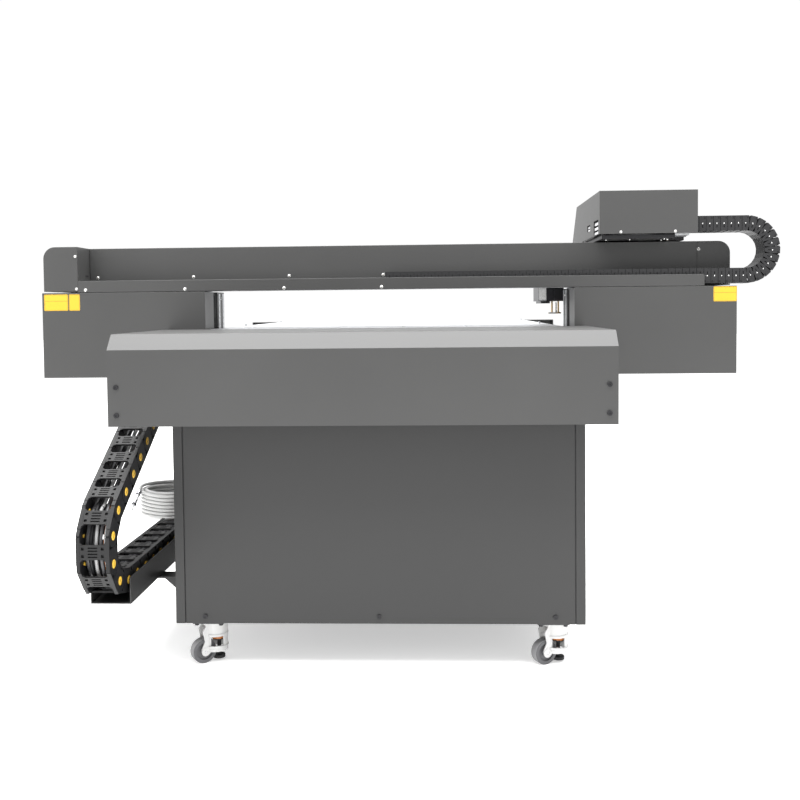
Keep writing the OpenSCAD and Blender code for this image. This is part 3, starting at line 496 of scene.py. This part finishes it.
def open_link(piece, place):
    """One link of the table chain: two cranked side plates, their pins, and a slotted bar across each face."""
    half_w, half_h, lobe, mid = 45.5, 34, 31, Y_PITCH / 2
    stand = Matrix.Rotation(math.pi / 2, 4, "X")
    bend = [math.pi / 2 + math.pi * k / 10 for k in range(11)]
    rear = [(lobe * math.cos(a), lobe * math.sin(a)) for a in bend] + [(mid + 6, -lobe), (mid + 6, lobe)]
    ahead = [(Y_PITCH - x, -y) for x, y in rear]
    for side in (1, -1):
        outer = sorted((side * half_w, side * (half_w - 5)))
        inner = sorted((side * (half_w - 5.2), side * (half_w - 10)))
        # stand turns Y into Z and Z into -Y, so that the layers are given as minus the place across
        piece.add(prism(rear, -outer[1], -outer[0]), "chain_plastic", place @ stand)
        piece.add(prism(ahead, -inner[1], -inner[0]), "chain_plastic", place @ stand)
        w = sorted((side * (half_w - 10.5), side * half_w))
        for z in (half_h - 4, -half_h):
            piece.add(block((4, w[0], z), (Y_PITCH + 1, w[1], z + 4)), "chain_frame", place)
            low = z if z > 0 else z + 1.2
            piece.add(block((-16, w[0] + 0.4, low - 1), (8, w[1] - 0.4, low + 2.6)), "chain_frame", place)
        pin = lathe([(0, 0), (5, 0), (5, 9), (12, 9), (12, 11.6), (10.8, 12.6), (0, 12.6)], 20)
        piece.add(pin, "pin_yellow", place @ facing(0, side * 34.2, 0, (0, side, 0)))
        # painted shade: a thin dark sheet on each pin's head stands for its slot, which is not cut
        face = side * (34.2 + 12.6)
        slot = sorted((face, face + side * 0.25))
        piece.add(block((-8, slot[0], -0.9), (8, slot[1], 0.9)), "print_line_and_recess_shade", place)
    rows = [mid + x for x in (-20, -14, -10.5, -6, -2.5, 2.5, 6, 10.5, 14, 20)]
    columns = [-36, -31, -23, -13, 13, 23, 31, 36]
    holes = {(row, 3) for row in (1, 3, 5, 7)} | {(row, side) for row in (1, 2, 6, 7) for side in (1, 5)}
    for low, high in ((half_h - 6, half_h - 0.6), (0.6 - half_h, 6 - half_h)):
        piece.add(pierced(rows, columns, lambda i, j: (i, j) in holes, low, high), "chain_frame", place)
        back = low - 1 if low > 0 else high
        piece.add(block((mid - 17, -34, back), (mid + 17, 34, back + 1)), "chain_plastic", place)
        for x, y in ((1, 1), (1, -1), (-1, 1), (-1, -1)):
            gusset = [(mid + 19 * x, 27 * y), (mid + 19 * x, 36 * y), (mid + 28 * x, 36 * y)]
            gusset = gusset if x * y < 0 else gusset[::-1]
            piece.add(prism(gusset, low, high), "chain_frame", place)


def closed_link(piece, place):
    """One link of the beam chain: a closed box with a notched side plate that laps the next one."""
    half_w, half_h, p = 45, 25, X_PITCH
    for side in (1, -1):
        skin = pierced([-p / 2 + 0.7, -1.5, 1.5, p / 2 - 0.7], [-half_h, -14, -5, 8, 14, half_h],
                       lambda i, j: (i, j) == (1, 1), 0, 2.4)
        turn = Matrix.Translation((0, side * (half_w - 2.4), 0)) @ Matrix.Rotation(side * -math.pi / 2, 4, "X")
        turn = turn @ Matrix.Diagonal((1, -side, 1, 1)) if side > 0 else turn
        piece.add(skin, "chain_link", place @ turn)
        inner = sorted((side * (half_w - 5.5), side * (half_w - 2.8)))
        lap = [(-p / 2 - 3, -half_h + 1), (p / 2 - 3, -half_h + 1), (p / 2 + 3, half_h - 1), (-p / 2 + 3, half_h - 1)]
        stand = Matrix.Rotation(math.pi / 2, 4, "X")
        piece.add(prism(lap, -inner[1], -inner[0]), "chain_plastic", place @ stand)
        dot = lathe([(0, 0), (1.9, 0), (1.9, 0.5), (1.2, 0.9), (0, 0.9)], 10)
        piece.add(dot, "bright_screw", place @ facing(0, side * (half_w - 0.1), 0, (0, side, 0)))
        rib = sorted((side * half_w, side * (half_w + 0.5)))
        piece.add(block((-p / 2 + 3, rib[0], 15), (-p / 2 + 7, rib[1], 21)), "chain_plastic", place)
    lids = [  # overhang past the pitch, inset from the side plates, from and to height, finish
        (-0.6, 2, half_h - 4, half_h, "chain_link"), (2, 4, half_h - 6, half_h - 4, "chain_plastic"),
        (-3.5, 5, -half_h, 3 - half_h, "chain_plastic"), (1, 4, 3 - half_h, 5 - half_h, "chain_plastic"),
    ]
    for over, inset, z0, z1, name in lids:
        piece.add(block((-p / 2 - over, inset - half_w, z0), (p / 2 + over, half_w - inset, z1)), name, place)


CABLES = [  # place across, place out of the bend, radius and finish
    (-25, -6, 7, "cable_grey"), (-13, 6, 5, "chain_plastic"), (-9, -9, 6, "cable_grey"), (1, 5, 4.5, "cable_white"),
    (8, -7, 6.5, "chain_plastic"), (16, 6, 4.5, "cable_grey"), (24, -4, 6, "cable_orange"), (29, 9, 4, "cable_white"),
]


def add_cables(piece, path, s0, s1):
    steps = max(2, round((s1 - s0) / 22))
    places = [path.frame(s0 + (s1 - s0) * k / steps - 1, s0 + (s1 - s0) * k / steps + 1) for k in range(steps + 1)]
    for across, out, radius, name in CABLES:
        # each cable wanders a little in its chain
        line = [
            place @ Vector((1, across + 1.5 * math.sin(k * 0.7 + across), out + 1.5 * math.cos(k * 0.5 + across)))
            for k, place in enumerate(places)
        ]
        piece.add(tube(line, radius, 8), name)


def make_y_chain():
    """The table chain in its three stretches: the level run, the rolling bend and the upper run."""
    stretches = {
        "lower": (0, y_path.run), "loop": (y_path.run, y_path.bend_end), "upper": (y_path.bend_end, y_path.length),
    }
    made = {}
    for name, (s0, s1) in stretches.items():
        piece = Piece("y_chain_links_" + name)
        for k in range(-1, 21):
            pin = Y_FIRST_PIN + k * Y_PITCH
            if s0 <= pin + Y_PITCH / 2 < s1:
                open_link(piece, y_path.frame(pin, pin + Y_PITCH))
        add_cables(piece, y_path, s0, s1)
        made[name] = piece.make("chain_plastic")
        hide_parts("y_chain_" + name)
    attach(made["lower"], "root")
    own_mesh(made["lower"])
    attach(made["loop"], "y_chain_loop")
    tangent = y_path.spot(y_path.bend_end)
    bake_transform(made["upper"])


# where the upper run's spare links lie inside the carriage cover, and how far they travel
STORE_START, STORE_END, STORE_TRAVEL = 760, 1030, 750


def stored(x):
    """Where a point of the drawn-out upper run lies at rest: its spare length is pushed together in the cover."""
    low, high = STORE_START, max(x, STORE_START)
    for _ in range(40):
        middle = (low + high) / 2
        reach = middle + STORE_TRAVEL * smoothstep((middle - STORE_START) / (STORE_END - STORE_START))
        low, high = (middle, high) if reach < x else (low, middle)
    return low


def make_x_chain():
    """The beam chain, likewise; its upper run keeps its spare links folded up inside the carriage cover."""
    made = {name: Piece("x_chain_links_" + name) for name in ("lower", "loop", "upper")}
    for k in range(81):
        s = (k + 0.5) * X_PITCH
        if s < x_path.bend_end:
            closed_link(made["lower" if s < x_path.run else "loop"], x_path.frame(s, s + 1))
    z, top = x_path.low_z + 2 * x_path.radius, x_path.start + x_path.run
    first = x_path.bend_end + X_PITCH / 2 - x_path.bend_end % X_PITCH
    first += X_PITCH if first < x_path.bend_end else 0
    x = top - (first - x_path.bend_end) + STORE_TRAVEL
    while x > STORE_START + X_PITCH / 2:
        place = Matrix.Translation((x, x_path.middle, z)) @ Matrix.Diagonal((-1, 1, 1, 1))
        closed_link(made["upper"], place)
        x -= X_PITCH
    upper = made["upper"]
    upper.points = [Vector((stored(p.x), p.y, p.z)) for p in upper.points]
    done = {name: piece.make("chain_plastic") for name, piece in made.items()}
    for name, piece in done.items():
        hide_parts("x_chain_" + name)
    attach(done["lower"], "gantry")
    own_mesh(done["lower"])
    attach(done["loop"], "x_chain_loop")
    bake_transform(done["upper"], "carriage", "x_chain_loop", start=at(STORE_START, 650, z), end=at(STORE_END, 650, z))


make_y_chain()
make_x_chain()

# ---------------------------------------------------------------- screws, plates and vents


def pan_screw(piece, x, y, z, direction=(0, -1, 0), radius=4.5, name="bright_screw"):
    """A domed head on a thin washer, with a thin dark cross laid on the dome as the painted shade of its cross recess;
    its seat is at the given place.
    """
    place = facing(x, y, z, direction)
    head = [(0, 0), (radius + 1, 0), (radius + 1, 0.8), (radius, 0.8), (radius * 0.9, 2), (radius * 0.6, 3), (0, 3.4)]
    piece.add(lathe(head, 18), name, place)
    # painted shade: the cross recess is not cut, a thin dark cross is laid on the dome
    for a, b in ((0.5, 0.12), (0.12, 0.5)):
        piece.add(block((-a * radius, -b * radius, 3.0), (a * radius, b * radius, 3.5)), "print_line_and_recess_shade", place)


def make_gantry_screws():
    piece = Piece("gantry_screws")
    for x in (-1008, -671, -336, -10):
        pan_screw(piece, x, 707, 1166.5)
    for x in (-1010, -671, -336, -9):
        pan_screw(piece, x, 591, 1122)
    for x, y, z in ((-1043, 591, 1235.5), (-1041, 591, 1126), (1066, 707, 1241)):
        pan_screw(piece, x, y, z, radius=4)
    # the two small holes' grommets on the left cap's inner side
    for y, z in ((668, 1172), (684, 1172)):
        grommet = lathe([(0, 0), (3.4, 0), (3.4, 0.8), (2, 0.8), (2, 0.3), (0, 0.3)], 16)
        piece.add(grommet, "black_plastic", facing(-1036, y, z, (1, 0, 0)))
    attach(piece.make(), "gantry")


def make_leg_strips():
    """What shows between the two halves of each leg cover: a black brush strip, and a pierced strip beside it."""
    piece = Piece("leg_strips")
    for side, x, y0, y1 in ((1, 633.4, 712, 775), (-1, -607.4, 712, 775)):
        places = sorted((x, x + side * 2.4))
        piece.add(block((places[0], y0, 945), (places[1], y1, 1108)), "black_plastic")
        for k in range(16):
            y = y0 + 4.6 + 3.6 * k
            hair = sorted((x - side * 1.2, x + side * 0.2))
            piece.add(block((hair[0], y, 948), (hair[1], y + 1.5, 1106)), "belt_rubber")
        face = 630 if side > 0 else -604
        zs = [946, 952, 958, 974, 980, 996, 1002, 1018, 1024, 1040, 1046, 1062, 1068, 1084, 1090, 1108]
        holes = pierced([0, 9, 15, 24], zs, lambda i, j: i == 1 and j % 2 == 1, 0, 1.6)
        turn = Matrix(((0, 0, 1, 0), (1, 0, 0, 0), (0, 1, 0, 0), (0, 0, 0, 1)))
        for y in (786, 846):
            shift = face - 1.6 if side > 0 else face
            piece.add(holes, "galvanised", Matrix.Translation((shift, y, 0)) @ turn)
        for z in (965, 1090):
            pan_screw(piece, face, 860 if z < 1000 else 826, z, (-side, 0, 0), 3.6)
    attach(piece.make(), "gantry")


def make_plates():
    """Plain yellow plates with a dark border, as thin labels on the leg covers."""
    piece = Piece("yellow_plates")
    for x0, x1, z0, z1 in ((-1153, -1071, 1053, 1108), (-1067.5, -1030.5, 1053, 1108), (1084, 1160, 1062, 1111)):
        width, height = x1 - x0, z1 - z0
        place = Matrix.Translation(((x0 + x1) / 2, 591, (z0 + z1) / 2)) @ Matrix.Rotation(math.pi / 2, 4, "X")
        piece.add(prism(rounded(width, height, 3), 0, 0.5), "plate_yellow", place)
        w, h = width - 3, height - 3
        for low, high in (((-w / 2, -h / 2), (w / 2, -h / 2 + 0.8)), ((-w / 2, h / 2 - 0.8), (w / 2, h / 2)),
                          ((-w / 2, -h / 2), (-w / 2 + 0.8, h / 2)), ((w / 2 - 0.8, -h / 2), (w / 2, h / 2))):
            piece.add(block((*low, 0.5), (*high, 0.62)), "print_line_and_recess_shade", place)
        if width > 50:
            z = height / 2 - height * 0.42
            piece.add(block((-width / 2 + 2, z, 0.5), (width / 2 - 2, z + 0.8, 0.62)), "print_line_and_recess_shade", place)
    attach(piece.make(), "gantry")


def make_carriage_parts():
    """Louvres behind the cover's vents, its screws, and the recessed panels and bracket below it."""
    piece = Piece("carriage_details")
    for y0, y1, z0, z1, count in ((609, 701, 1290, 1337, 3), (779, 842, 1312, 1334, 2)):
        piece.add(block((724, y0 - 6, z0 - 4), (726, y1 + 6, z1 + 6)), "black_plastic")
        step = (z1 - z0) / count
        for k in range(count):
            z = z0 + k * step
            bar = [(0, 0), (step * 0.52, 0), (step * 0.52 + 2, 2), (step * 0.52 - 1, 5), (1, 5)]
            turn = Matrix(((0, 1, 0, 0), (0, 0, 1, 0), (1, 0, 0, 0), (0, 0, 0, 1)))
            piece.add(prism(bar, y0 - 3, y1 + 3), "clear_bar", Matrix.Translation((714.5, 0, z)) @ turn)
    for x in (780, 957):
        pan_screw(piece, x, 580, 1292.7, radius=3.8)
    panels = ((735, 812, 612, 632), (735, 790, 660, 680), (832, 922, 612, 634), (850, 915, 662, 684))
    for x0, x1, y0, y1 in panels:
        place = Matrix.Translation(((x0 + x1) / 2, (y0 + y1) / 2, 1270.6))
        piece.add(prism(rounded(x1 - x0, y1 - y0, 4), 0, 1.6), "panel_paint", place)
    for x, y in ((742, 645), (820, 640), (930, 622), (944, 640), (952, 668), (936, 690)):
        pan_screw(piece, x, y, 1272, (0, 0, -1), 3, "bright_screw")
    xs = [962, 966, 974, 980, 988, 994, 1002, 1008]
    ys = [604, 612, 620, 632, 640, 652, 660, 700]
    bracket = pierced(xs, ys, lambda i, j: i % 2 == 1 and j % 2 == 1, 1281, 1284)
    piece.add(bracket, "galvanised")
    piece.add(block((962, 604, 1284), (1008, 607, 1292)), "galvanised")
    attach(piece.make(), "carriage")


def make_lamp_parts():
    """The bright finned end of the left lamp, its chamfered foot and the probe's silver guide."""
    piece = Piece("lamp_details")
    for k, z in enumerate(range(1076, 1180, 13)):
        depth = 1.5 if k % 2 else 4
        piece.add(block((550.5, 952 - depth, z), (577, 952.2, min(z + 13, 1180))), "bright_screw")
    piece.add(prism([(551, 944), (577, 944), (577, 952.2), (551, 952.2)], 1071, 1076), "galvanised")
    piece.add(block((577.4, 948, 1071), (604, 952.2, 1179)), "lamp_housing")
    piece.add(block((606, 949.5, 1073), (640.5, 952.2, 1179)), "head_black")
    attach(piece.make(), "head")
    guide = Piece("probe_guide")
    guide.add(lathe([(0, 1028), (3.6, 1028), (3.6, 1034), (2.6, 1036), (2.6, 1066), (0, 1066)], 16), "bright_screw",
              Matrix.Translation((614.4, 965, 0)))
    for x in (593, 628):
        stud = lathe([(0, 0), (2.4, 0), (2.0, 1.2), (0, 1.5)], 12)
        guide.add(stud, "bright_screw", Matrix.Translation((x, 968, 1028.4)))
    guide.add(block((586.6, 957.6, 1023.4), (612, 961, 1029)), "bright_screw")
    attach(guide.make(), "height_probe")


make_gantry_screws()
make_leg_strips()
make_plates()
make_carriage_parts()
make_lamp_parts()

# ---------------------------------------------------------------- casters

CASTERS = {1: (-507, 210, 35), 2: (507, 210, 27), 3: (-507, 1940, 185), 4: (507, 1940, 177)}


def caster_place(number):
    x, y, yaw = CASTERS[number]
    return Matrix.Translation((x, y, 0)) @ Matrix.Rotation(math.radians(yaw), 4, "Z")


def make_caster_parts(number):
    place = caster_place(number)
    plate = Piece("caster_bolts_%d" % number)
    for x in (-36, 36):
        for y in (-36, 36):
            spot = Matrix.Translation((CASTERS[number][0] + x, CASTERS[number][1] + y, 0))
            plate.add(lathe([(0, 125), (8.4, 125), (8.4, 123.4), (0, 123.4)][::-1], 20), "black_steel", spot)
            plate.add(prism([(6.6 * math.cos(TURN * k / 6), 6.6 * math.sin(TURN * k / 6)) for k in range(6)],
                            118.4, 123.4), "black_steel", spot)
    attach(plate.make("frame_steel", edge=0.4), "root")
    boss = Piece("caster_boss_%d" % number)
    for side in (1, -1):
        ring = [(0, 0), (12.4, 0), (13, 1), (12.6, 2), (9, 2.6), (4.2, 2.8), (4.2, 1.4), (0, 1.4)]
        boss.add(lathe(ring, 28), "caster_casting", place @ facing(-28, side * 20, 36.5, (0, side, 0)))
        boss.add(lathe([(0, 1), (3.6, 1), (3.2, 2.4), (0, 2.4)], 16), "coupling_metal",
                 place @ facing(-28, side * 20, 36.5, (0, side, 0)))
        rib = [(-30, 50), (-14, 42), (6, 46), (10, 49), (-12, 46), (-29, 54)]
        stand = Matrix.Rotation(math.pi / 2, 4, "X")
        y = -side * 20
        low, high = sorted((y, y + (-side) * 1.2))
        boss.add(prism(rib, low, high), "caster_casting", place @ stand)
    collar = [(36.6, 80), (37.6, 82), (37.6, 86), (36.6, 88), (35.5, 88), (35.5, 80)]
    boss.add(lathe(collar, 48), "caster_casting", place @ Matrix.Translation((12, 0, 0)))
    lip = [(36.4, 44), (37.8, 45.5), (37.8, 49), (36.4, 50.5), (35.5, 50.5), (35.5, 44)]
    boss.add(lathe(lip, 48), "caster_casting", place @ Matrix.Translation((12, 0, 0)))
    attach(boss.make("caster_casting"), "caster_%d" % number)
    ring = Piece("thumb_ring_%d" % number)
    for k in range(14):
        turn = Matrix.Rotation(TURN * k / 14, 4, "Z")
        knob = [(19, -3.6), (23.2, -2.7), (23.8, 0), (23.2, 2.7), (19, 3.6)]
        ring.add(prism(knob, 67.8, 76.4), "ring_orange", place @ Matrix.Translation((22, 0, 0)) @ turn)
    band = [(17.4, 63.4), (19.6, 63.4), (19.6, 68), (22.3, 68.2), (22.3, 76.2), (20, 76.8), (17.4, 76.8)]
    ring.add(lathe(band[-4:] + [(17.4, 68.2)], 36), "ring_orange", place @ Matrix.Translation((22, 0, 0)))
    ring.add(lathe(band[:3] + [(17.4, 68)], 36), "black_plastic", place @ Matrix.Translation((22, 0, 0)))
    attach(ring.make("foot_rubber"), "foot_%d" % number)
    tread = Piece("wheel_tread_%d" % number)
    profile = [(35.4, -13), (36.6, -11.6), (36.9, -6), (36.9, 6), (36.6, 11.6), (35.4, 13), (34.5, 12), (34.5, -12)]
    tread.add(lathe(profile, 64), "wheel_tread", place @ facing(-28, 0, 36.5, (0, 1, 0)))
    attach(tread.make("wheel_rubber"), "wheel_%d" % number)


for number in CASTERS:
    make_caster_parts(number)

# ---------------------------------------------------------------- floor and light


def area_light(name, place, target, size, power):
    data = bpy.data.lights.new(name, "AREA")
    data.shape, data.size, data.size_y, data.energy = "RECTANGLE", size[0], size[1], power
    light = bpy.data.objects.new(name, data)
    light.location = place
    light.rotation_euler = (Vector(target) - Vector(place)).to_track_quat("-Z", "Y").to_euler()
    bpy.context.scene.collection.objects.link(light)


def make_studio():
    mesh = bpy.data.meshes.new("floor")
    half = 30
    mesh.from_pydata([(-half, -half, 0), (half, -half, 0), (half, half, 0), (-half, half, 0)], [], [(0, 1, 2, 3)])
    mesh.materials.append(MATERIALS["pale_floor"])
    floor = bpy.data.objects.new("floor", mesh)
    bpy.context.scene.collection.objects.link(floor)
    area_light("overhead", (0, -0.6, 4.2), (0, -0.4, 1), (6, 5), 760)
    area_light("left_side", (-5.0, -2.0, 2.2), (0, 0, 0.9), (3, 3), 60)
    world = bpy.data.worlds.new("world")
    world.use_nodes = True
    world.node_tree.nodes["Background"].inputs["Color"].default_value = (1, 1, 1, 1)
    world.node_tree.nodes["Background"].inputs["Strength"].default_value = 1.02
    bpy.context.scene.world = world
    bpy.context.scene.view_settings.view_transform = "Standard"


make_studio()
